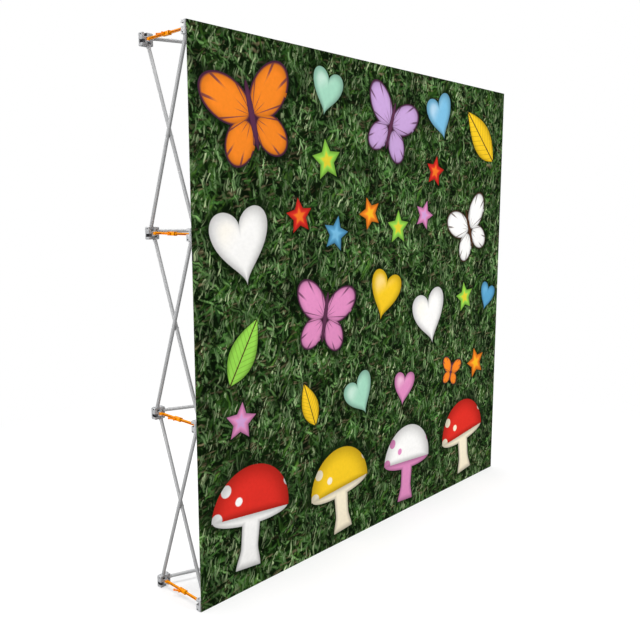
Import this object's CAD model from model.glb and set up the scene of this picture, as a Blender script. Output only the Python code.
import math
import bpy
from mathutils import Matrix, Vector


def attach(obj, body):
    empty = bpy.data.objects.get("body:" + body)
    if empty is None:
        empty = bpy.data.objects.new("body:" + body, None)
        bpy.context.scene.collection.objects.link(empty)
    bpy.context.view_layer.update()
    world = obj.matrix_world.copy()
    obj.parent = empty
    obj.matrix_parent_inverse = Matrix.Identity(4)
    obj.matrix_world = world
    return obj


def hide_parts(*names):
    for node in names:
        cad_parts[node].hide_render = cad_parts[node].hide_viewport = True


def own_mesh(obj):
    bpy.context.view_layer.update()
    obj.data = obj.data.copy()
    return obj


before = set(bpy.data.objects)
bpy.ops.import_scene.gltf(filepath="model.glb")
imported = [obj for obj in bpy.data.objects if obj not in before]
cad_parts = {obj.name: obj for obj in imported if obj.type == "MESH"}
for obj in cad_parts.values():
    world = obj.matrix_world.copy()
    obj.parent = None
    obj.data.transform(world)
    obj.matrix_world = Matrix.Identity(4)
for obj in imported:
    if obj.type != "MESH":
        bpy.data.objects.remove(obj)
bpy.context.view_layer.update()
print("frame loaded:", len(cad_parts), "nodes")

mm = 0.001
near = 0.01  # mm that count as touching
slack = 0.02  # mm left free where two shapes would else meet exactly
facing = 0.9  # how squarely a face has to look one way
shortest, aligned = 1e-4, 0.999  # an edge's least length, and how true to an axis it runs
lattice = {  # where the hubs stand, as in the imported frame
    "pitch": 735, "midColumn": 2.5, "firstRow": 25, "frontY": -130.35, "depth": 264,
    "reach": 18, "side": 7.75, "fold": 67,
}
lattice["rearY"] = lattice["frontY"] + lattice["depth"]
openRun = lattice["pitch"] - 2 * lattice["reach"]
tubeSpan = math.hypot(openRun, lattice["depth"])
tubeTilt = math.degrees(math.atan2(lattice["depth"], openRun))
foldedRun = tubeSpan * math.cos(math.radians(tubeTilt + lattice["fold"]))
lattice["folded"] = openRun - foldedRun  # how far each step closes in the full fold


def columnX(c):
    return (c - lattice["midColumn"]) * lattice["pitch"]


def rowZ(r):
    return lattice["firstRow"] + (r - 1) * lattice["pitch"]


def at(x, y, z):
    return Matrix.Translation(Vector((x, y, z)) * mm)


def turned(degrees, axis):
    return Matrix.Rotation(math.radians(degrees), 4, axis)


# modelling helpers: everything is drawn in millimetres and kept in metres


def selectOnly(*objects):
    for other in bpy.context.selected_objects:
        other.select_set(False)
    for each in objects:
        each.select_set(True)
    bpy.context.view_layer.objects.active = objects[0] if objects else None


def applyPlace(piece):
    selectOnly(piece)
    bpy.ops.object.transform_apply(location=True, rotation=True, scale=True)
    return piece


def addBlock(name, low, high):
    selectOnly()
    middle = [(a + b) / 2 * mm for a, b in zip(low, high)]
    bpy.ops.mesh.primitive_cube_add(size=1, location=middle)
    block = bpy.context.object
    block.name = name
    block.scale = [(b - a) * mm for a, b in zip(low, high)]
    return applyPlace(block)


def addRod(name, radius, low, high, axis="Z", centre=(0, 0, 0), sides=32, ends="NGON"):
    selectOnly()
    middle = Vector(centre)
    middle["XYZ".index(axis)] += (low + high) / 2
    turn = {"X": (0, math.pi / 2, 0), "Y": (math.pi / 2, 0, 0), "Z": (0, 0, 0)}[axis]
    bpy.ops.mesh.primitive_cylinder_add(
        vertices=sides, radius=radius * mm, depth=(high - low) * mm,
        location=middle * mm, rotation=turn, end_fill_type=ends)
    rod = bpy.context.object
    rod.name = name
    return applyPlace(rod)


def pick(piece, kind, test):  # leaves the piece in edit mode with the wanted parts selected
    selectOnly(piece)
    bpy.ops.object.mode_set(mode="EDIT")
    bpy.ops.mesh.select_mode(type=kind)
    bpy.ops.mesh.select_all(action="DESELECT")
    bpy.ops.object.mode_set(mode="OBJECT")
    mesh = piece.data
    if kind == "EDGE":
        for edge in mesh.edges:
            first, last = (mesh.vertices[i].co / mm for i in edge.vertices)
            edge.select = bool(test(first, last))
    else:
        for face in mesh.polygons:
            face.select = bool(test(face.center / mm, face.normal))
    bpy.ops.object.mode_set(mode="EDIT")


def leave():
    bpy.ops.object.mode_set(mode="OBJECT")


def bevelEdges(piece, test, width, segments=3):
    pick(piece, "EDGE", test)
    bpy.ops.mesh.bevel(offset=width * mm, segments=segments, affect="EDGES")
    leave()


def pushFaces(piece, test, move, inset=0.0):  # insets the faces, then pulls them out or in
    pick(piece, "FACE", test)
    if inset:
        bpy.ops.mesh.inset(thickness=inset * mm)
    bpy.ops.mesh.extrude_region_move(TRANSFORM_OT_translate={"value": tuple(Vector(move) * mm)})
    leave()


def applied(piece, kind, **settings):
    selectOnly(piece)
    modifier = piece.modifiers.new(kind.lower(), kind)
    for name, value in settings.items():
        setattr(modifier, name, value)
    bpy.ops.object.modifier_apply(modifier=modifier.name)
    return piece


def combine(piece, tools, how):
    for tool in tools:
        applied(piece, "BOOLEAN", operation=how, object=tool, solver="EXACT")
        bpy.data.objects.remove(tool)
    return piece


def soften(piece, width, segments=2, angle=40):
    applied(piece, "BEVEL", width=width * mm, segments=segments, limit_method="ANGLE",
            angle_limit=math.radians(angle), use_clamp_overlap=True, miter_outer="MITER_ARC")
    return smooth(piece)


def smooth(piece, angle=35):
    selectOnly(piece)
    bpy.ops.object.shade_smooth_by_angle(angle=math.radians(angle))
    return piece


def joined(name, parts):
    selectOnly(*parts)
    bpy.ops.object.join()
    whole = bpy.context.object
    whole.name = name
    return whole


def straight(first, last, axis):  # an edge that runs along one axis
    run = last - first
    return run.length > shortest and abs(run["XYZ".index(axis)]) / run.length > aligned


def level(first, last, axis, height=None):  # an edge that stays at one height along an axis
    k = "XYZ".index(axis)
    height = last[k] if height is None else height
    return abs(first[k] - height) < near and abs(last[k] - height) < near


def finishAll(model, finish, second=None, test=None):  # the second finish goes where the test says
    model.data.materials.clear()
    model.data.materials.append(finish)
    if second:
        model.data.materials.append(second)
        for face in model.data.polygons:
            face.material_index = 1 if test(face.center / mm, face.normal) else 0


def copied(model):
    twin = model.copy()
    twin.data = model.data.copy()
    bpy.context.scene.collection.objects.link(twin)
    return twin


def place(model, name, matrix, body, replaced, slotName):
    piece = copied(model)
    piece.name = name
    piece.data.transform(matrix)
    if matrix.determinant() < 0:
        selectOnly(piece)
        bpy.ops.object.mode_set(mode="EDIT")
        bpy.ops.mesh.select_all(action="SELECT")
        bpy.ops.mesh.normals_make_consistent(inside=False)
        leave()
    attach(piece, body)
    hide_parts(replaced)
    return piece


def slide(piece, axis, distance):  # a hair's squash towards a far anchor moves the piece whole
    if not distance:
        return
    keep = 0.999
    direction = Vector((axis == "X", axis == "Y", axis == "Z"))
    low = min(v.co.dot(direction) for v in piece.data.vertices)
    tuple(direction * (low + distance * mm / (1 - keep)))
    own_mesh(piece)


# finishes


class Wire:
    def __init__(self, tree, socket=None):
        self.tree, self.socket = tree, socket

    def node(self, kind, settings=None, values=None, output=0):
        made = self.tree.nodes.new(kind)
        for name, value in (settings or {}).items():
            if name == "stops":
                ramp = made.color_ramp
                while len(ramp.elements) < len(value):
                    ramp.elements.new(0.5)
                for element, (position, colour) in zip(ramp.elements, value):
                    element.position, element.color = position, (*colour, 1)
            else:
                setattr(made, name, value)
        for key, value in (values or {}).items():
            if isinstance(value, Wire):
                self.tree.links.new(value.socket, made.inputs[key])
            else:
                made.inputs[key].default_value = value
        return Wire(self.tree, made.outputs[output] if made.outputs else None)

    def maths(self, operation, *terms):
        return self.node("ShaderNodeMath", {"operation": operation}, dict(enumerate(terms)))

    def __add__(self, other):
        return self.maths("ADD", self, other)

    def __sub__(self, other):
        return self.maths("SUBTRACT", self, other)

    def __rsub__(self, other):
        return self.maths("SUBTRACT", other, self)

    def __mul__(self, other):
        return self.maths("MULTIPLY", self, other)

    def __truediv__(self, other):
        return self.maths("DIVIDE", self, other)

    def __pow__(self, other):
        return self.maths("POWER", self, other)

    def __abs__(self):
        return self.maths("ABSOLUTE", self)

    __radd__ = __add__

    def most(self, other):
        return self.maths("MAXIMUM", self, other)

    def least(self, other):
        return self.maths("MINIMUM", self, other)

    def root(self):
        return self.maths("SQRT", self)

    def step(self, low, high, start=0.0, end=1.0):  # a soft step from start to end
        return self.node("ShaderNodeMapRange", {"interpolation_type": "SMOOTHSTEP"},
                         {0: self, 1: low, 2: high, 3: start, 4: end})

    def mix(self, first, second):  # this wire is the share of the second colour
        return self.node("ShaderNodeMix", {"data_type": "RGBA", "blend_type": "MIX"},
                         {0: self, 6: first, 7: second}, 2)

    def times(self, level):  # this colour times a grey level
        grey = self.node("ShaderNodeCombineColor", None, {0: level, 1: level, 2: level})
        return self.node("ShaderNodeMix", {"data_type": "RGBA", "blend_type": "MULTIPLY"},
                         {0: 1.0, 6: self, 7: grey}, 2)

    def ramp(self, *stops):
        return self.node("ShaderNodeValToRGB", {"stops": stops}, {0: self})


def rgb(r, g, b):
    return (r, g, b, 1)


def newFinish(name, paint, **constants):
    material = bpy.data.materials.new(name)
    material.use_nodes = True
    tree = material.node_tree
    shader = tree.nodes["Principled BSDF"]
    for key, value in constants.items():
        shader.inputs[key.replace("_", " ")].default_value = value
    wire = Wire(tree)
    for key, value in paint(wire).items():
        target = shader.inputs[key]
        if isinstance(value, Wire):
            tree.links.new(value.socket, target)
        else:
            target.default_value = value
    return material


def objectPlace(wire):
    return wire.node("ShaderNodeTexCoord", output=3)


def noise(wire, where, scale, detail=3.0, roughness=0.5, distortion=0.0, output=0):
    return wire.node("ShaderNodeTexNoise", None, {
        "Vector": where, "Scale": scale, "Detail": detail,
        "Roughness": roughness, "Distortion": distortion}, output)


def cells(wire, where, scale, output=0):
    return wire.node("ShaderNodeTexVoronoi", {"feature": "F1"},
                     {"Vector": where, "Scale": scale}, output)


def bump(wire, height, strength, distance):
    return wire.node("ShaderNodeBump", None, {
        "Height": height, "Strength": strength, "Distance": distance})


def mapped(wire, where, scale=(1, 1, 1), rotation=(0, 0, 0)):
    return wire.node("ShaderNodeMapping", None, {
        "Vector": where, "Scale": scale, "Rotation": rotation})


# mouldings have clouds of tone, fine grain and rubbed places

hubLook = {
    "pale": (0.49, 0.495, 0.505), "deep": (0.42, 0.425, 0.435), "worn": (0.60, 0.61, 0.62),
    "cloud": (28, 28, 28), "cloudDetail": 4, "cloudBlur": 0.5, "swirl": 0.0,
    "wear": (60, 420, 60), "wearDetail": 3, "wearBlur": 0.5, "wearStep": (0.62, 0.74),
    "wearShare": 0.25, "wearRough": 0.1,
    "grain": 1400, "grainDetail": 2, "grainRough": 0.08, "roughness": 0.42, "bump": (0.12, 0.0004),
}
slotLook = {
    **hubLook, "pale": (0.10, 0.10, 0.105), "deep": (0.055, 0.056, 0.06),
    "worn": (0.12, 0.12, 0.125), "grain": 1100, "roughness": 0.6,
}
lockLook = {
    "pale": (1.0, 0.365, 0.0), "deep": (1.0, 0.31, 0.0), "worn": (1.0, 0.42, 0.03),
    "cloud": (30, 9, 30), "cloudDetail": 4, "cloudBlur": 0.55, "swirl": 0.6,
    "wear": (260, 260, 260), "wearDetail": 4, "wearBlur": 0.7, "wearStep": (0.6, 0.72),
    "wearShare": 0.12, "wearRough": 0.12,
    "grain": 1700, "grainDetail": 2, "grainRough": 0.1, "roughness": 0.42, "bump": (0.08, 0.0003),
}
grooveLook = {
    **lockLook, "pale": (0.36, 0.07, 0.004), "deep": (0.24, 0.04, 0.002),
    "worn": (0.40, 0.09, 0.01), "roughness": 0.55,
}
leverLook = {
    **lockLook, "pale": (1.0, 0.29, 0.002), "deep": (0.98, 0.22, 0.001),
    "worn": (1.0, 0.32, 0.03), "roughness": 0.4,
}


def mouldedPaint(look):
    def paint(wire):
        where = objectPlace(wire)
        cloud = noise(wire, mapped(wire, where, look["cloud"]), 1, look["cloudDetail"],
                      look["cloudBlur"], look["swirl"])
        grain = noise(wire, where, look["grain"], look["grainDetail"])
        wear = noise(wire, mapped(wire, where, look["wear"]), 1, look["wearDetail"],
                     look["wearBlur"]).step(*look["wearStep"])
        colour = cloud.mix(rgb(*look["deep"]), rgb(*look["pale"]))
        rough = look["roughness"] + grain * look["grainRough"] + wear * look["wearRough"]
        return {"Base Color": (wear * look["wearShare"]).mix(colour, rgb(*look["worn"])),
                "Roughness": rough, "Normal": bump(wire, grain, *look["bump"])}
    return paint


# small parts have grain alone

steelLook = {"deep": (0.015, 0.015, 0.017), "pale": (0.05, 0.05, 0.053),
             "grain": (300, 300, 1500), "roughness": 0.28, "grainRough": 0.2, "bump": None}
rivetLook = {"deep": (0.42, 0.43, 0.45), "pale": (0.58, 0.59, 0.60),
             "grain": (900, 900, 900), "roughness": 0.3, "grainRough": 0.2, "bump": (0.1, 0.0002)}
plugLook = {"deep": (0.44, 0.445, 0.455), "pale": (0.53, 0.535, 0.545),
            "grain": (1300, 1300, 1300), "roughness": 0.48, "grainRough": 0.15,
            "bump": (0.15, 0.0004)}


def grainPaint(look):
    def paint(wire):
        grain = noise(wire, mapped(wire, objectPlace(wire), look["grain"]), 1)
        made = {"Base Color": grain.mix(rgb(*look["deep"]), rgb(*look["pale"])),
                "Roughness": look["roughness"] + grain * look["grainRough"]}
        if look["bump"]:
            made["Normal"] = bump(wire, grain, *look["bump"])
        return made
    return paint


tubeLook = {
    "pale": (0.44, 0.444, 0.448), "deep": (0.37, 0.373, 0.377), "stained": (0.70, 0.71, 0.72),
    "streak": (90, 3, 1), "streakDetail": 4, "streakBlur": 0.6, "streakRough": 0.14,
    "stain": (4, 14, 1), "stainShare": 0.12, "roughness": 0.5, "bump": (0.06, 0.0003),
}


def paintTube(wire):
    look = tubeLook
    along = wire.node("ShaderNodeUVMap", {"uv_map": "UVMap"})
    streak = noise(wire, mapped(wire, along, look["streak"]), 1, look["streakDetail"],
                   look["streakBlur"])
    stain = noise(wire, mapped(wire, along, look["stain"]), 1)
    colour = streak.mix(rgb(*look["deep"]), rgb(*look["pale"]))
    return {"Base Color": (stain * look["stainShare"]).mix(colour, rgb(*look["stained"])),
            "Roughness": look["roughness"] + streak * look["streakRough"],
            "Normal": bump(wire, streak, *look["bump"])}


padLook = {"deep": (0.004, 0.004, 0.005), "pale": (0.05, 0.05, 0.054), "hooks": 850,
           "hookStep": (0.1, 0.5), "roughness": 0.62, "hookRough": 0.15, "bump": (0.8, 0.0008)}


def paintPad(wire):
    look = padLook
    lift = 1 - cells(wire, objectPlace(wire), look["hooks"]).step(*look["hookStep"])
    return {"Base Color": lift.mix(rgb(*look["deep"]), rgb(*look["pale"])),
            "Roughness": look["roughness"] + lift * look["hookRough"],
            "Normal": bump(wire, lift, *look["bump"])}


hubPlastic = newFinish("satin moulded hub", mouldedPaint(hubLook))
slotPlastic = newFinish("shaded hub slots", mouldedPaint(slotLook), Specular_IOR_Level=0.1)
tubeMetal = newFinish("brushed anodised tube", paintTube, Metallic=0.15)
pinSteel = newFinish("blackened pin steel", grainPaint(steelLook), Metallic=0.2,
                     Specular_IOR_Level=0.15)
rivetSteel = newFinish("rivet alloy", grainPaint(rivetLook), Metallic=0.6)
lockPlastic = newFinish("orange lock plastic", mouldedPaint(lockLook), Specular_IOR_Level=0.06)
groovePlastic = newFinish("shaded lock grooves", mouldedPaint(grooveLook),
                          Specular_IOR_Level=0.1)
leverPlastic = newFinish("red orange lever plastic", mouldedPaint(leverLook),
                         Specular_IOR_Level=0.08)
plugPlastic = newFinish("grey plug plastic", grainPaint(plugLook))
padHooks = newFinish("black hook pad", paintPad)
print("finishes made")

# hub moulding

hubShape = {
    "width": 50, "corner": 4, "front": -15, "plateBack": -9, "back": 9, "step": 0.8,
    "slotBottom": 9.75, "slotWidth": 12, "slotSoft": 1.5, "boreRadius": 2.04,
    "pinHalf": 13, "pinClear": 0.5, "sinkRadius": 2.9, "sinkDeep": 0.6,
    "lugWidth": 13, "lugThick": 3.2, "lugGap": 13, "lugRoot": 1, "lockPinY": 15,
    "dishRadius": 15, "dishDepth": 0.8, "softEdge": 0.5,
    "past": 60, "dishPast": 2, "borePast": 40,  # how far the cutting tools reach
}
hubShade = {  # what the darker finish covers, seen from each slot
    "slotX": (9.6, 24), "slotY": (-9.1, 8.2), "slotHalf": 6.1, "sinkRadius": 2.95, "sinkEnd": -24.2,
}


def makeHub(size):
    half, reach, side = size["width"] / 2, lattice["reach"], lattice["side"]
    past = size["past"]
    hub = addBlock("hubModel", (-half, size["front"], -half), (half, size["plateBack"], half))
    bevelEdges(hub, lambda a, b: straight(a, b, "Y"), size["corner"], 6)
    pushFaces(hub, lambda c, n: n.y > facing, (0, size["back"] - size["plateBack"], 0),
              size["step"])
    cutters = [addRod("dish", size["dishRadius"], size["front"] - size["dishPast"],
                      size["front"] + size["dishDepth"], "Y", sides=48)]
    slotLow = -side - size["slotWidth"] / 2
    pinEnd = -side - size["pinHalf"]
    for k in range(4):
        slot = addBlock("slot", (size["slotBottom"], size["plateBack"], slotLow),
                        (past, past, slotLow + size["slotWidth"]))
        bevelEdges(slot, lambda a, b: straight(a, b, "Z") and a.x < half and a.y < 0,
                   size["slotSoft"], 3)
        bore = addRod("bore", size["boreRadius"], -past, size["pinHalf"] + size["pinClear"],
                      "Z", (reach, 0, -side), 28)
        sink = addRod("sink", size["sinkRadius"], -past, pinEnd + size["sinkDeep"],
                      "Z", (reach, 0, 0), 28)
        for tool in (slot, bore, sink):
            tool.data.transform(turned(-90 * k, "Y"))
            cutters.append(tool)
    lugs = []
    lugHalf, pinY = size["lugWidth"] / 2, size["lockPinY"]
    for z in (-1, 1):
        middle = z * (size["lugGap"] + size["lugThick"]) / 2
        lug = addBlock("lug", (-lugHalf, size["back"] - size["lugRoot"],
                               middle - size["lugThick"] / 2),
                       (lugHalf, pinY + lugHalf, middle + size["lugThick"] / 2))
        bevelEdges(lug, lambda a, b: straight(a, b, "Z") and a.y > pinY, lugHalf - slack, 10)
        lugs.append(lug)
    combine(hub, lugs, "UNION")
    cutters.append(addRod("lockBore", size["boreRadius"], -size["borePast"], size["borePast"],
                          "Z", (0, pinY, 0), 28))
    combine(hub, cutters, "DIFFERENCE")
    return soften(hub, size["softEdge"])


def inHubSlot(centre, normal):
    (lowX, highX), (lowY, highY) = hubShade["slotX"], hubShade["slotY"]
    side, reach = lattice["side"], lattice["reach"]
    for k in range(4):
        spot = turned(90 * k, "Y") @ centre
        inSlot = lowX < spot.x < highX and lowY < spot.y < highY
        if inSlot and abs(spot.z + side) < hubShade["slotHalf"]:
            return True
        sunk = hubShade["sinkEnd"] < spot.z < -side
        if sunk and math.hypot(spot.x - reach, spot.y) < hubShade["sinkRadius"]:
            return True
    return False


hubModel = makeHub(hubShape)
finishAll(hubModel, hubPlastic, slotPlastic, inHubSlot)
print("hub moulding:", len(hubModel.data.polygons), "faces")

# steel pins and hook pads

pinShape = {"radius": 2, "half": 13, "lockHalf": 9.7, "chamfer": 0.35,
            "leverRadius": 1.2, "leverHalf": 7.1, "leverChamfer": 0.2}


def makePin(name, radius, half, chamfer):
    pin = addRod(name, radius, -half, half, "Z", sides=24)
    bevelEdges(pin, lambda a, b: level(a, b, "Z"), chamfer, 2)
    return smooth(pin)


pinModel = makePin("pinModel", pinShape["radius"], pinShape["half"], pinShape["chamfer"])
lockPinModel = makePin("lockPinModel", pinShape["radius"], pinShape["lockHalf"],
                       pinShape["chamfer"])
leverPinModel = makePin("leverPinModel", pinShape["leverRadius"], pinShape["leverHalf"],
                        pinShape["leverChamfer"])
for model in (pinModel, lockPinModel, leverPinModel):
    finishAll(model, pinSteel)

padShape = {"width": 40, "back": -15.02, "front": -17, "corner": 4,
            "edge": 1.2, "sunk": 0.25, "softEdge": 0.2}


def makePad(size):
    half = size["width"] / 2
    pad = addBlock("padModel", (-half, size["front"], -half), (half, size["back"], half))
    bevelEdges(pad, lambda a, b: straight(a, b, "Y"), size["corner"], 6)
    pushFaces(pad, lambda c, n: n.y < -facing, (0, size["sunk"], 0), size["edge"])
    return soften(pad, size["softEdge"])


padModel = makePad(padShape)
finishAll(padModel, padHooks)
print("pins and pads made")

# tubes

tubeShape = {
    "span": tubeSpan, "tilt": tubeTilt, "radius": 7.25, "wall": 1, "start": 12.52,
    "mouthSoft": 0.25, "tongueThick": 11, "collar": 3, "eyeRadius": 2.06, "plugRoot": 1,
    "plugRadius": 6.15, "plugLength": 20, "plugSoft": 0.35,
    "rivetRadius": 2.5, "headRadius": 4, "headHigh": 1.4, "headRound": 1.1,
    "past": 20,
}


def makeTube(size):
    tube = addRod("tubeModel", size["radius"], size["start"], size["span"] - size["start"],
                  "X", sides=40, ends="NOTHING")
    applied(tube, "SOLIDIFY", thickness=size["wall"] * mm, offset=-1)
    outside = size["radius"] - size["wall"] / 2
    bevelEdges(tube, lambda a, b: level(a, b, "X") and math.hypot(a.y, a.z) > outside,
               size["mouthSoft"], 2)
    return smooth(tube)


def makePlug(size):
    radius, half = size["radius"] - slack, size["tongueThick"] / 2
    start, end = size["start"], size["start"] - 2 * slack
    plug = addBlock("plugModel", (-radius, -radius, -half), (end, radius, half))
    bevelEdges(plug, lambda a, b: straight(a, b, "Z") and a.x < 0, radius - near, 10)
    collar = addRod("collar", radius, start - size["collar"], end, "X", sides=40)
    stub = addRod("stub", size["plugRadius"], start - size["plugRoot"],
                  start + size["plugLength"], "X", sides=32)
    combine(plug, [collar, stub], "UNION")
    eye = addRod("eye", size["eyeRadius"], -size["past"], size["past"], "Z", sides=24)
    combine(plug, [eye], "DIFFERENCE")
    return soften(plug, size["plugSoft"])


def makeRivet(size):
    low = -size["radius"] - slack
    high = 2 * lattice["side"] + size["radius"] + 3 * slack
    rivet = addRod("rivetModel", size["rivetRadius"], low, high, "Z", sides=24)
    for base, end in ((low, low - size["headHigh"]), (high, high + size["headHigh"])):
        head = addRod("head", size["headRadius"], min(base, end), max(base, end), "Z", sides=32)
        bevelEdges(head, lambda a, b: level(a, b, "Z", end), size["headRound"], 4)
        combine(rivet, [head], "UNION")
    return smooth(rivet)


tubeModel = makeTube(tubeShape)
plugModel = makePlug(tubeShape)
farPlugModel = copied(plugModel)
farPlugModel.data.transform(at(tubeShape["span"], 0, 0) @ turned(180, "Z"))
rivetModel = makeRivet(tubeShape)
rivetModel.data.transform(at(tubeShape["span"] / 2, 0, 0))
finishAll(tubeModel, tubeMetal)
finishAll(plugModel, plugPlastic)
finishAll(farPlugModel, plugPlastic)
finishAll(rivetModel, rivetSteel)
print("tubes, plugs and rivets made")

# locks

lockShape = {
    "eyeRadius": 5.5, "eyeHigh": 12, "boreRadius": 2.04, "width": 6.5, "high": 9.5, "lift": 1.2,
    "mouth": 94, "grooveDeep": 1.5, "grooveHigh": 4, "grooveRound": 1.4, "grooveStart": 8.75,
    "grooveStop": 1.6, "housingStart": 95, "housingLength": 45, "housingSize": 14.5,
    "housingCorner": 1.8, "noseCorner": 1.5, "socketDeep": 34, "funnelX": 5.5, "funnelZ": 6,
    "funnelDeep": 5, "rimWide": 0.6, "rimLong": 3.5, "rimCorner": 2.2,
    "leverX": 10.65, "leverY": 105, "leverLugZ": 5.5, "leverLugHalf": 3.2, "leverLugThick": 3.2,
    "leverLugRoot": 1, "leverBore": 1.22, "windowFore": 1, "windowAft": 13, "clear": 0.4,
    "barRoot": 2, "catchStop": 1, "softEdge": 0.5, "wall": 1, "rim": 0.8, "skin": 0.1,
    "past": 20, "groovePast": 3,
}
leverShape = {
    "high": 7, "bossRadius": 2.7, "armHalf": 1.5, "armLong": 23, "armTurn": 24,
    "thumbRadius": 3.5, "noseLong": 10, "clawStart": 7, "clawCorner": 2.0,
    "boreRadius": 1.26, "softEdge": 0.4, "past": 20,
}


def makeBar(size, name, grooveEnd, end):
    half, low = size["width"] / 2, size["lift"] - size["high"] / 2
    bar = addBlock(name, (-half, 0, low), (half, end, low + size["high"]))
    eyeHalf = size["eyeHigh"] / 2
    combine(bar, [addRod("eye", size["eyeRadius"], -eyeHalf, eyeHalf, "Z", sides=48)], "UNION")
    grooves = []
    grooveHalf = size["grooveHigh"] / 2
    for side in (-1, 1):
        x = sorted((side * (half - size["grooveDeep"]), side * (half + size["groovePast"])))
        groove = addBlock("groove", (x[0], size["grooveStart"], -grooveHalf),
                          (x[1], grooveEnd, grooveHalf))
        bevelEdges(groove, lambda a, b: straight(a, b, "X"), size["grooveRound"], 4)
        grooves.append(groove)
    hole = addRod("hole", size["boreRadius"], -size["past"], size["past"], "Z", sides=24)
    combine(bar, grooves + [hole], "DIFFERENCE")
    return bar


def makeTongue(size):
    end = size["mouth"] + size["socketDeep"] - size["softEdge"]
    bar = makeBar(size, "tongueModel", size["mouth"] - size["grooveStop"], end)
    return soften(bar, size["softEdge"])


def makeCatch(size):
    half, lift, clear, past = size["housingSize"] / 2, size["lift"], size["clear"], size["past"]
    start, end = size["housingStart"], size["housingStart"] + size["housingLength"]
    bar = makeBar(size, "catchModel", start - size["catchStop"], start + size["barRoot"])
    housing = addBlock("housing", (-half, start, lift - half), (half, end, lift + half))
    bevelEdges(housing, lambda a, b: straight(a, b, "Y"), size["housingCorner"], 4)
    bevelEdges(housing, lambda a, b: level(a, b, "Y", start), size["noseCorner"], 3)
    wide = half + size["rimWide"]
    rim = addBlock("rim", (-wide, end - size["rimLong"], lift - wide), (wide, end, lift + wide))
    bevelEdges(rim, lambda a, b: straight(a, b, "Y"), size["rimCorner"], 4)
    leverX, leverY, lugHalf = size["leverX"], size["leverY"], size["leverLugHalf"]
    lugs = []
    for z in (-1, 1):
        middle = lift + z * size["leverLugZ"]
        low, high = middle - size["leverLugThick"] / 2, middle + size["leverLugThick"] / 2
        lug = addBlock("lug", (half - size["leverLugRoot"], leverY - lugHalf, low),
                       (leverX + lugHalf, leverY + lugHalf, high))
        bevelEdges(lug, lambda a, b: straight(a, b, "Z") and a.x > leverX, lugHalf - slack, 8)
        lugs.append(lug)
    combine(bar, [housing, rim] + lugs, "UNION")
    wide, tall = size["width"] / 2 + clear, size["high"] / 2 + clear
    socket = addBlock("socket", (-wide, end - size["socketDeep"], lift - tall),
                      (wide, end + past, lift + tall))
    funnel = addBlock("funnel", (-size["funnelX"], end - size["funnelDeep"],
                                 lift - size["funnelZ"]),
                      (size["funnelX"], end + past, lift + size["funnelZ"]))
    reach = leverShape["high"] / 2 + clear
    window = addBlock("window", (size["width"] / 2, leverY - size["windowFore"], lift - reach),
                      (size["width"] / 2 + past, leverY + size["windowAft"], lift + reach))
    hole = addRod("hole", size["leverBore"], -past, past, "Z", (leverX, leverY, 0), 20)
    combine(bar, [socket, funnel, window, hole], "DIFFERENCE")
    return soften(bar, size["softEdge"])


def inLockGroove(centre, normal):
    size = lockShape
    x, y, z = centre
    return (abs(x) < size["width"] / 2 - size["rim"]
            and size["grooveStart"] + size["rim"] < y < size["mouth"] + size["softEdge"]
            and abs(z) < size["grooveHigh"] / 2 + size["skin"] and abs(normal.x) > size["skin"])


def inLockHollow(centre, normal):  # the grooves, the socket and the lever's window
    size = lockShape
    end = size["housingStart"] + size["housingLength"]
    inside = size["housingSize"] / 2 - size["wall"]
    inSocket = (size["leverY"] - size["windowFore"] < centre.y < end - size["rim"]
                and abs(centre.x) < inside and abs(centre.z - size["lift"]) < inside)
    return inSocket or inLockGroove(centre, normal)


def makeLever(size, lock):
    high, arm = size["high"] / 2, size["armHalf"]
    hook = lock["leverX"] - lock["width"] / 2 - lock["clear"]
    noseEnd = size["noseLong"]
    lever = addRod("leverModel", size["bossRadius"], -high, high, "Z", sides=28)
    grip = addBlock("grip", (-arm, -size["armLong"], -high), (arm, 0, high))
    thumb = addRod("thumb", size["thumbRadius"], -high, high, "Z", (0, -size["armLong"], 0), 32)
    combine(grip, [thumb], "UNION")
    grip.data.transform(turned(size["armTurn"], "Z"))
    nose = addBlock("nose", (-arm, 0, -high), (arm, noseEnd, high))
    claw = addBlock("claw", (-hook, size["clawStart"], -high), (0, noseEnd, high))
    bevelEdges(claw, lambda a, b: straight(a, b, "Z") and a.x < near - hook
               and a.y > noseEnd - near, size["clawCorner"], 4)
    combine(lever, [grip, nose, claw], "UNION")
    hole = addRod("hole", size["boreRadius"], -size["past"], size["past"], "Z", sides=20)
    combine(lever, [hole], "DIFFERENCE")
    return soften(lever, size["softEdge"])


tongueModel = makeTongue(lockShape)
catchModel = makeCatch(lockShape)
leverModel = makeLever(leverShape, lockShape)
finishAll(tongueModel, lockPlastic, groovePlastic, inLockGroove)
finishAll(catchModel, lockPlastic, groovePlastic, inLockHollow)
finishAll(leverModel, leverPlastic)
print("lock halves and lever made")

# the frame put together

leverSpot = at(lockShape["leverX"], lockShape["leverY"], lockShape["lift"])
leverPinModel.data.transform(leverSpot)
models = [hubModel, pinModel, lockPinModel, leverPinModel, padModel, tubeModel, plugModel,
          farPlugModel, rivetModel, tongueModel, catchModel, leverModel]


def outer(c, r):
    return c in (1, 4) or r in (1, 4)


def pinSetFor(sides):
    pins = []
    for k in sides:
        pin = copied(pinModel)
        pin.data.transform(turned(-90 * k, "Y") @ at(lattice["reach"], 0, -lattice["side"]))
        pins.append(pin)
    return joined("pinSet", pins)


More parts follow.
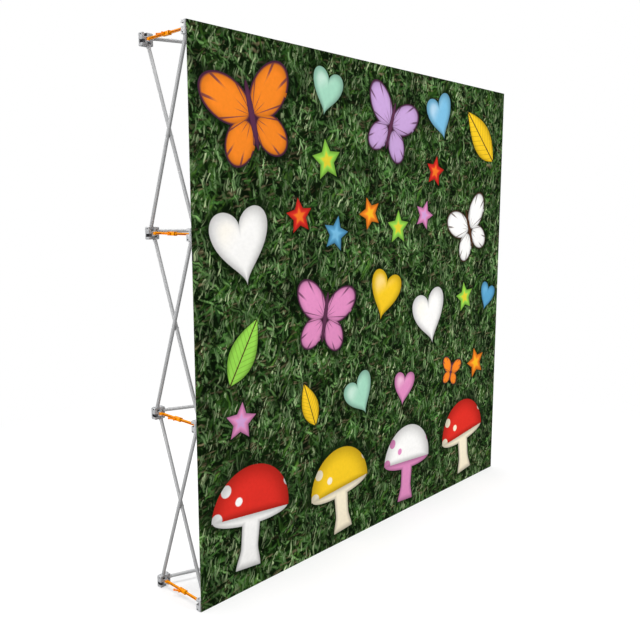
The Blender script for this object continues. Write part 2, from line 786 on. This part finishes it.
def putHub(side, c, r):
    front = side == "front"
    home = at(columnX(c), lattice["frontY" if front else "rearY"], rowZ(r))
    if not front:
        home = home @ turned(180, "Z")
    edge = outer(c, r)
    body = f"{side}_hub_c{c}_r{r}" if edge else f"{side}_hub_c{c}_r1"
    node = f"{side}_hub_c{c}_r{r}" if edge else "inner_hubs"
    label = f"{side}_c{c}_r{r}"
    made = []

    def put(model, what, where, slotName=None):
        made.append(place(model, f"{what}_{label}", where, body, node, slotName))

    put(hubModel, "hub_moulding", home, "hub")
    left, right = (c > 1, c < 4) if front else (c < 4, c > 1)
    pinSet = pinSetFor([k for k, needed in enumerate((right, r < 4, left, r > 1)) if needed])
    put(pinSet, "tube_pins", home)
    bpy.data.objects.remove(pinSet)
    if front:
        put(padModel, "hook_pad", home)
    if c in (1, 4):
        lockHome = home @ at(0, hubShape["lockPinY"], 0)
        if front:
            put(tongueModel, "lock_tongue", lockHome, "lock")
        else:
            mirror = Matrix.Scale(-1, 4, (1, 0, 0)) if c == 4 else Matrix()
            catchHome = lockHome @ mirror
            put(catchModel, "lock_catch", catchHome, "lock")
            put(leverPinModel, "lever_pin", catchHome)
            leverNode = f"release_lever_c{c}_r{r}"
            place(leverModel, f"lock_lever_c{c}_r{r}", catchHome @ leverSpot,
                  leverNode, leverNode, "lock")
        put(lockPinModel, "lock_pin", lockHome)
    if not edge:
        for piece in made:
            slide(piece, "Z", -(r - 1) * lattice["folded"])


def putTube(kind, line, bay, which):
    start = which == "a"
    y = lattice["frontY" if start else "rearY"]
    sign = 1 if start else -1
    edge = line in (1, 4)
    if kind == "row":
        home = at(columnX(bay) + lattice["reach"], y, rowZ(line) - sign * lattice["side"])
        home = home @ turned(sign * tubeShape["tilt"], "Z")
    else:
        home = at(columnX(line) + sign * lattice["side"], y, rowZ(bay) + lattice["reach"])
        home = home @ turned(-sign * tubeShape["tilt"], "X") @ turned(-90, "Y")
    body = f"{kind}_{line if edge else 1}_bay_{bay}_tube_{which}"
    node = body if edge else f"inner_{kind}_tubes"
    label = f"{kind}_{line}_bay_{bay}_{which}"
    pieces = [(tubeModel, "tube", "tube"), (plugModel, "plug_near", None),
              (farPlugModel, "plug_far", None)]
    if start:
        pieces.append((rivetModel, "cross_rivet", None))
    for model, what, slotName in pieces:
        piece = place(model, f"{what}_{label}", home, body, node, slotName)
        if not edge:
            slide(piece, "Z" if kind == "row" else "X", -(line - 1) * lattice["folded"])


for c in range(1, 5):
    for r in range(1, 5):
        putHub("front", c, r)
        putHub("rear", c, r)
for kind in ("row", "column"):
    for line in range(1, 5):
        for bay in (1, 2, 3):
            putTube(kind, line, bay, "a")
            putTube(kind, line, bay, "b")
for model in models:
    bpy.data.objects.remove(model)

# printed fabric: each motif is drawn by its shader on faces cut to its own square

fabricShape = {"left": -1123.5, "right": 1123.5, "low": 0.5, "high": 2254.5,
               "front": -148.65, "back": -147.65, "hem": 16, "margin": 1}
kinds = {"heart": 1, "butterfly": 2, "star": 3, "toadstool": 4, "leaf": 5}
inks = {
    "white": (0.93, 0.92, 0.90), "cream": (0.92, 0.83, 0.63), "yellow": (0.88, 0.56, 0.02),
    "blue": (0.10, 0.34, 0.56), "sky": (0.20, 0.50, 0.72), "mint": (0.36, 0.66, 0.50),
    "pink": (0.72, 0.26, 0.50), "lilac": (0.56, 0.36, 0.66), "orange": (0.90, 0.24, 0.02),
    "red": (0.70, 0.03, 0.02), "lime": (0.30, 0.66, 0.08), "plum": (0.10, 0.03, 0.07),
    "brown": (0.07, 0.03, 0.015),
}
motifs = [  # kind, x, z, half size, turn, main ink, second ink
    ("butterfly", -820, 1950, 249, 14, "orange", "plum"),
    ("heart", -390, 2085, 119, -12, "mint", "white"),
    ("star", -390, 1800, 99, 8, "lime", "yellow"),
    ("butterfly", 60, 1985, 213, -18, "lilac", "plum"),
    ("heart", 480, 2060, 138, 20, "sky", "white"),
    ("star", 440, 1785, 86, -10, "red", "orange"),
    ("leaf", 880, 1990, 188, 48, "yellow", "brown"),
    ("heart", -880, 1440, 188, 10, "white", "cream"),
    ("star", -560, 1560, 84, 8, "red", "orange"),
    ("star", -330, 1480, 88, -12, "blue", "sky"),
    ("star", -90, 1570, 84, 20, "orange", "yellow"),
    ("star", 130, 1500, 93, 0, "lime", "yellow"),
    ("star", 350, 1560, 83, -18, "pink", "lilac"),
    ("butterfly", 790, 1480, 213, 22, "white", "brown"),
    ("butterfly", -400, 1110, 209, -10, "pink", "plum"),
    ("heart", 30, 1170, 148, -16, "yellow", "cream"),
    ("heart", 420, 1020, 179, 12, "white", "cream"),
    ("star", 760, 1100, 93, 10, "lime", "yellow"),
    ("heart", 1002, 1080, 98, -20, "blue", "sky"),
    ("leaf", -880, 1020, 148, -30, "lime", "brown"),
    ("heart", -150, 700, 128, 24, "mint", "white"),
    ("leaf", -500, 725, 109, 20, "yellow", "brown"),
    ("heart", 200, 670, 108, -8, "pink", "white"),
    ("butterfly", 640, 690, 102, -14, "orange", "plum"),
    ("star", 900, 700, 98, 14, "orange", "yellow"),
    ("star", -900, 735, 88, -6, "pink", "lilac"),
    ("toadstool", -850, 325, 244, -6, "red", "white"),
    ("toadstool", -290, 275, 229, 5, "yellow", "cream"),
    ("toadstool", 240, 270, 224, -4, "white", "pink"),
    ("toadstool", 780, 290, 238, 7, "red", "cream"),
]
room = 1.16  # how far a motif's field reaches past its half size
offField = (3, 3)  # motif coordinates of the plain ground


def cutFabric(fabric, size):  # a grid of cuts along the hems and the motifs' squares
    hem, margin = size["hem"], size["margin"]
    cutX = {size["left"] + hem, size["right"] - hem}
    cutZ = {size["low"] + hem, size["high"] - hem}
    for _, x, z, half, *_ in motifs:
        for sign in (-1, 1):
            cutX.add(x + sign * half * room)
            cutZ.add(z + sign * half * room)
    selectOnly(fabric)
    bpy.ops.object.mode_set(mode="EDIT")
    for values, normal, low, high in ((cutX, Vector((1, 0, 0)), size["left"], size["right"]),
                                      (cutZ, Vector((0, 0, 1)), size["low"], size["high"])):
        for value in sorted(values):
            if low + margin < value < high - margin:
                bpy.ops.mesh.select_all(action="SELECT")
                bpy.ops.mesh.bisect(plane_co=normal * value * mm, plane_no=normal)
    leave()


def motifAt(x, z):
    for motif in motifs:
        reach = motif[3] * room
        if abs(x - motif[1]) < reach and abs(z - motif[2]) < reach:
            return motif
    return None


def markMotifs(mesh):  # each face gets its motif's kind and inks, and coordinates within it
    mesh.uv_layers.new(name="motif")
    for name, sort, domain in (("motifKind", "FLOAT", "FACE"),
                               ("motifInk", "FLOAT_COLOR", "CORNER"),
                               ("motifSecond", "FLOAT_COLOR", "CORNER")):
        mesh.attributes.new(name, sort, domain)
    field = mesh.uv_layers["motif"]
    kindField = mesh.attributes["motifKind"]
    inkField, secondField = mesh.attributes["motifInk"], mesh.attributes["motifSecond"]
    for face in mesh.polygons:
        middle = face.center / mm
        found = motifAt(middle.x, middle.z) if face.normal.y < -facing else None
        if found is None:
            for corner in face.loop_indices:
                field.uv[corner].vector = offField
            continue
        kind, x, z, half, turn, ink, second = found
        kindField.data[face.index].value = kinds[kind]
        cosine, sine = math.cos(math.radians(turn)), math.sin(math.radians(turn))
        for corner in face.loop_indices:
            spot = mesh.vertices[mesh.loops[corner].vertex_index].co / mm
            dx, dz = (spot.x - x) / half, (spot.z - z) / half
            field.uv[corner].vector = (dx * cosine + dz * sine, -dx * sine + dz * cosine)
            inkField.data[corner].color = (*inks[ink], 1)
            secondField.data[corner].color = (*inks[second], 1)


def makeFabric(size):
    fabric = addBlock("printed_sheet", (size["left"], size["front"], size["low"]),
                      (size["right"], size["back"], size["high"]))
    cutFabric(fabric, size)
    markMotifs(fabric.data)
    return fabric


# layers of grass blades from the lowest up: turn, width, length, dark and light green

grassLayers = (
    (20, 0.020, 0.15, (0.004, 0.014, 0.002), (0.034, 0.090, 0.012)),
    (-38, 0.018, 0.13, (0.008, 0.028, 0.003), (0.080, 0.185, 0.028)),
    (100, 0.012, 0.10, (0.012, 0.012, 0.004), (0.20, 0.17, 0.09)),
    (-70, 0.016, 0.12, (0.008, 0.034, 0.005), (0.085, 0.22, 0.045)),
    (58, 0.015, 0.11, (0.012, 0.040, 0.008), (0.17, 0.33, 0.10)),
    (12, 0.013, 0.12, (0.014, 0.046, 0.010), (0.24, 0.40, 0.16)),
    (-22, 0.010, 0.09, (0.015, 0.050, 0.012), (0.46, 0.56, 0.30)),
)
grassLook = {
    "ground": (0.002, 0.007, 0.001), "bladeStep": (0.26, 0.52), "ribStep": (0.0, 0.34),
    "toneShare": 0.6, "middle": 0.55, "drift": 11, "driftDetail": 2, "bend": 0.07,
    "patch": 11, "patchMore": 4, "patchBlur": 0.6, "patchStep": (0.46, 0.54),
    "shade": 7, "shadeDetail": 4, "shadeBlur": 0.6, "shadeStep": (0.34, 0.66, 0.5, 1.5),
}


def grassLayer(wire, where, angle, across, along, dark, light):
    look = grassLook
    spun = mapped(wire, where, (1, 1, 1), (0, math.radians(angle), 0))
    narrow = mapped(wire, spun, (1 / across, 0, 1 / along))
    distance = cells(wire, narrow, 1.0)
    chance = wire.node("ShaderNodeSeparateColor", None, {0: cells(wire, narrow, 1.0, 1)})
    blade = 1 - distance.step(*look["bladeStep"])
    rib = 1 - distance.step(*look["ribStep"])
    between = [a * look["middle"] + b * (1 - look["middle"]) for a, b in zip(dark, light)]
    share = look["toneShare"]
    tone = (chance * share + rib * chance * share).ramp(
        (0.0, dark), (look["middle"], between), (1.0, light))
    return blade, tone


def paintGrass(wire, where):
    look = grassLook
    drift = noise(wire, where, look["drift"], look["driftDetail"], output=1)
    bent = wire.node("ShaderNodeVectorMath", {"operation": "MULTIPLY_ADD"},
                     {0: drift, 1: (look["bend"], 0, look["bend"]), 2: where})
    grass = rgb(*look["ground"])
    for number, layer in enumerate(grassLayers):
        blade, tone = grassLayer(wire, bent, *layer)
        patch = noise(wire, where, look["patch"] + look["patchMore"] * number, 3,
                      look["patchBlur"]).step(*look["patchStep"])
        grass = (blade * patch if number else blade).mix(grass, tone)
    shade = noise(wire, where, look["shade"], look["shadeDetail"], look["shadeBlur"])
    return grass.times(shade.step(*look["shadeStep"]))


# motif shapes: each gives a height, 0 on its outline and up to 1 inside, and its second
# ink's share; u and v run across and up it, from -1 to 1


def oval(u, v, wide, tall):
    u, v = u / wide, v / tall
    return 1 - (u * u + v * v)


def heartForm(u, v, field):
    x, y = abs(u) * 1.25, v * 1.25 + 0.25
    lobes = y * 1.25 - x.root()
    heart = 1 - (x * x + lobes * lobes)
    return heart, (v - u * 0.8).step(0.1, 1.1) * heart.step(0.2, 0.8) * 0.5


wingShapes = ((0.46, 0.32, 38, 0.55, 0.35), (0.34, -0.36, -52, 0.40, 0.30))


def wing(u, v, x, y, angle, wide, tall):
    dx, dy = abs(u) - x, v - y
    cosine, sine = math.cos(math.radians(angle)), math.sin(math.radians(angle))
    return oval(dx * cosine + dy * sine, dy * cosine - dx * sine, wide, tall)


def butterflyForm(u, v, field):
    upper, lower = (wing(u, v, *shape) for shape in wingShapes)
    wings, torso = upper.most(lower), oval(u, v, 0.065, 0.55)
    rays = field.maths("SINE", field.maths("ARCTAN2", v, abs(u)) * 17)
    rays = rays.step(0.86, 0.97) * (1 - wings.step(0.55, 0.9)) * 0.8
    spots = 1 - cells(field, field, 4.2).step(0.16, 0.22)
    spots = spots * (1 - wings.step(0.3, 0.4)) * 0.9
    border = 1 - wings.step(0.10, 0.30)
    return wings.most(torso), (border.most(rays) - spots).most(torso.step(0.0, 0.2))


def starForm(u, v, field):
    tip, notch, point = 0.95, 0.47, math.pi / 5
    nx, ny = notch * math.sin(point), tip - notch * math.cos(point)
    length = math.hypot(nx, ny)
    sector = field.maths("PINGPONG", field.maths("ARCTAN2", u, v) + 2 * math.pi, point)
    across = (field.maths("COSINE", sector) * (nx / length)
              + field.maths("SINE", sector) * (ny / length))
    star = (tip * nx / length - (u * u + v * v).root() * across) * 3.2
    return star, star.step(0.55, 0.95) * 0.7


def toadstoolForm(u, v, field):
    cap = oval(u, v - 0.02, 0.88, 0.86).least(v * 5)
    gills = oval(u, v - 0.02, 0.86, 0.2).least(v * -5 + 0.1)
    foot = v + 0.95
    stemHalf = 0.19 + foot * foot * 0.02 + (1 - foot.step(0.0, 0.4)) * 0.09
    stem = (1 - (u / stemHalf) ** 2).least(foot * 5).least(v * -5 + 0.05)
    dots = 1 - cells(field, field, 2.3).step(0.26, 0.30)
    return cap.most(gills.most(stem)), dots.most(1 - cap.step(0.0, 0.01))


def leafForm(u, v, field):
    half = ((1 - v * v) * (0.46 - v * 0.12)).most(0.001)
    leaf = (1 - (u / half) ** 2).least((1 - abs(v)) * 5)
    veins = field.maths("SINE", (v - abs(u) * 0.9) * 34).step(0.8, 0.98) * 0.35
    return leaf, veins.most(1 - abs(u).step(0.012, 0.03))


forms = {"heart": heartForm, "butterfly": butterflyForm, "star": starForm,
         "toadstool": toadstoolForm, "leaf": leafForm}
printLook = {
    "outside": -2.0, "inkStep": (0.0, 0.03), "gloomStep": (-0.75, 0.05), "gloomShare": 0.8,
    "gloom": (0.003, 0.008, 0.002), "mottle": 60, "mottleShare": 0.16, "mottleBase": 0.9,
    "domeStep": (-0.1, 0.75, 0.5, 1.0), "slope": 0.07, "weave": 1500.0, "roughness": 0.85,
    "bump": (0.05, 0.0002),
}


def paintFront(wire):
    look, where = printLook, objectPlace(wire)
    grass = paintGrass(wire, where)
    field = wire.node("ShaderNodeUVMap", {"uv_map": "motif"})
    u, v = (wire.node("ShaderNodeSeparateXYZ", None, {0: field}, k) for k in (0, 1))
    kind = wire.node("ShaderNodeAttribute", {"attribute_name": "motifKind"}, output=2)
    ink = wire.node("ShaderNodeAttribute", {"attribute_name": "motifInk"}, output=0)
    second = wire.node("ShaderNodeAttribute", {"attribute_name": "motifSecond"}, output=0)
    height = wire.maths("COMPARE", kind, 0.0, 0.5) * look["outside"]
    mark = 0
    for name, form in forms.items():
        shape, share = form(u, v, field)
        chosen = wire.maths("COMPARE", kind, kinds[name], 0.5)
        height = chosen * shape.most(look["outside"]) + height
        mark = chosen * share + mark
    gloom = height.step(*look["gloomStep"]) * look["gloomShare"]  # a shape's soft shadow
    grass = gloom.mix(grass, rgb(*look["gloom"]))
    mottle = noise(wire, where, look["mottle"], 3) * look["mottleShare"] + look["mottleBase"]
    shade = (height.step(*look["domeStep"]) + (v - u * 0.6) * look["slope"]) * mottle
    motif = mark.mix(ink, second).times(shade)
    weave = wire.node("ShaderNodeTexChecker", None, {"Vector": where, "Scale": look["weave"]}, 1)
    return {"Base Color": height.step(*look["inkStep"]).mix(grass, motif),
            "Roughness": look["roughness"], "Normal": bump(wire, weave, *look["bump"])}


backLook = {"deep": (0.66, 0.66, 0.65), "pale": (0.80, 0.80, 0.78), "fibre": (900, 900, 140),
            "fibreShare": 0.6, "rib": (3, 3, 40), "ribShare": 0.3, "roughness": 0.85,
            "bump": (0.2, 0.0003)}


def paintBack(wire):
    look, where = backLook, objectPlace(wire)
    fibre = noise(wire, mapped(wire, where, look["fibre"]), 1)
    rib = noise(wire, mapped(wire, where, look["rib"]), 1)
    share = fibre * look["fibreShare"] + rib * look["ribShare"]
    return {"Base Color": share.mix(rgb(*look["deep"]), rgb(*look["pale"])),
            "Roughness": look["roughness"], "Normal": bump(wire, fibre, *look["bump"])}


printInk = newFinish("printed polyester front", paintFront, Specular_IOR_Level=0.02)
plainBack = newFinish("plain polyester back", paintBack, Sheen_Weight=0.1, Sheen_Roughness=0.6)
fabric = makeFabric(fabricShape)
finishAll(fabric, printInk, plainBack, lambda c, n: n.y >= -facing)
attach(fabric, "printed_fabric")
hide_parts("printed_fabric")
print("fabric made:", len(fabric.data.polygons), "faces")

# stage

stageLook = {"world": 0.25, "floorBounce": 0.2, "floorDiffuse": 0.46, "floorGlow": 0.52,
             "floorWide": 60, "floorDrop": 0.0002, "nearFloor": 1.9, "farFloor": 3.0}
selectOnly()
bpy.ops.mesh.primitive_plane_add(size=stageLook["floorWide"],
                                 location=(0, 0, -stageLook["floorDrop"]))
floor = bpy.context.object
floor.name = "studio_floor"
floorPaint = bpy.data.materials.new("white studio floor")
floorPaint.use_nodes = True
floorPaint.node_tree.nodes.clear()
world = bpy.data.worlds.new("studio world")
bpy.context.scene.world = world
world.use_nodes = True
world.node_tree.nodes.clear()


def backdropSeen(wire):  # 1 where the camera sees it, directly or in a gloss
    path = wire.node("ShaderNodeLightPath")
    rays = path.socket.node.outputs
    seen = Wire(wire.tree, rays["Is Camera Ray"])
    for name in ("Is Glossy Ray", "Is Transmission Ray"):
        seen = seen.most(Wire(wire.tree, rays[name]))
    return seen


def lit(wire, kind, grey, strength=None):
    values = {"Color": rgb(grey, grey, grey)}
    if strength is not None:
        values["Strength"] = strength
    return wire.node(kind, None, values)


wire = Wire(floorPaint.node_tree)
plain = lit(wire, "ShaderNodeBsdfDiffuse", stageLook["floorBounce"])
shadowed = lit(wire, "ShaderNodeBsdfDiffuse", stageLook["floorDiffuse"])
glow = lit(wire, "ShaderNodeEmission", 1, stageLook["floorGlow"])
bright = lit(wire, "ShaderNodeEmission", 1, 1.0)
nearFloor = wire.node("ShaderNodeAddShader", None, {0: shadowed, 1: glow})
away = wire.node("ShaderNodeVectorMath", {"operation": "LENGTH"}, {0: objectPlace(wire)}, 1)
away = away.step(stageLook["nearFloor"], stageLook["farFloor"])
shown = wire.node("ShaderNodeMixShader", None, {0: away, 1: nearFloor, 2: bright})
floorMix = wire.node("ShaderNodeMixShader", None, {0: backdropSeen(wire), 1: plain, 2: shown})
wire.node("ShaderNodeOutputMaterial", None, {"Surface": floorMix})
floor.data.materials.append(floorPaint)

wire = Wire(world.node_tree)
soft = lit(wire, "ShaderNodeBackground", 1, stageLook["world"])
white = lit(wire, "ShaderNodeBackground", 1, 1.0)
worldMix = wire.node("ShaderNodeMixShader", None, {0: backdropSeen(wire), 1: soft, 2: white})
wire.node("ShaderNodeOutputWorld", None, {"Surface": worldMix})


def addLamp(name, place, target, size, power):
    lamp = bpy.data.lights.new(name, "AREA")
    lamp.shape, lamp.size, lamp.energy = "DISK", size, power
    holder = bpy.data.objects.new(name, lamp)
    bpy.context.scene.collection.objects.link(holder)
    holder.location = place
    holder.visible_camera = False
    holder.rotation_euler = (Vector(target) - Vector(place)).to_track_quat("-Z", "Y").to_euler()


# the fabric shades the frame's left end from the front lamp
addLamp("overhead softbox", (-0.5, 0, 20), (-0.5, 0, 0), 10.0, 3400)
addLamp("left softbox", (-7, -1, 1.8), (-1, 0, 1.1), 2.5, 240)
addLamp("front softbox", (2, -7.5, 1.8), (0, 0, 1.1), 3.0, 450)
addLamp("rear softbox", (-3, 7, 3), (0, 0, 1.1), 3.0, 150)

photoSide, sensor = 640, 36  # pixels, mm
cameraLook = {"place": (-2.7104, -2.2953, 1.5841), "down": 8.27, "turn": -46.657,
              "lens": 710.38 / photoSide * sensor,
              "shift": (0.31 / photoSide, -6.24 / photoSide)}
lens = bpy.data.cameras.new("camera")
lens.sensor_width, lens.lens = sensor, cameraLook["lens"]
lens.shift_x, lens.shift_y = cameraLook["shift"]
viewer = bpy.data.objects.new("camera", lens)
bpy.context.scene.collection.objects.link(viewer)
viewer.location = cameraLook["place"]
viewer.rotation_euler = (math.radians(90 - cameraLook["down"]), 0, math.radians(cameraLook["turn"]))
bpy.context.scene.camera = viewer
bpy.context.scene.view_settings.view_transform = "Standard"
print("stage set")
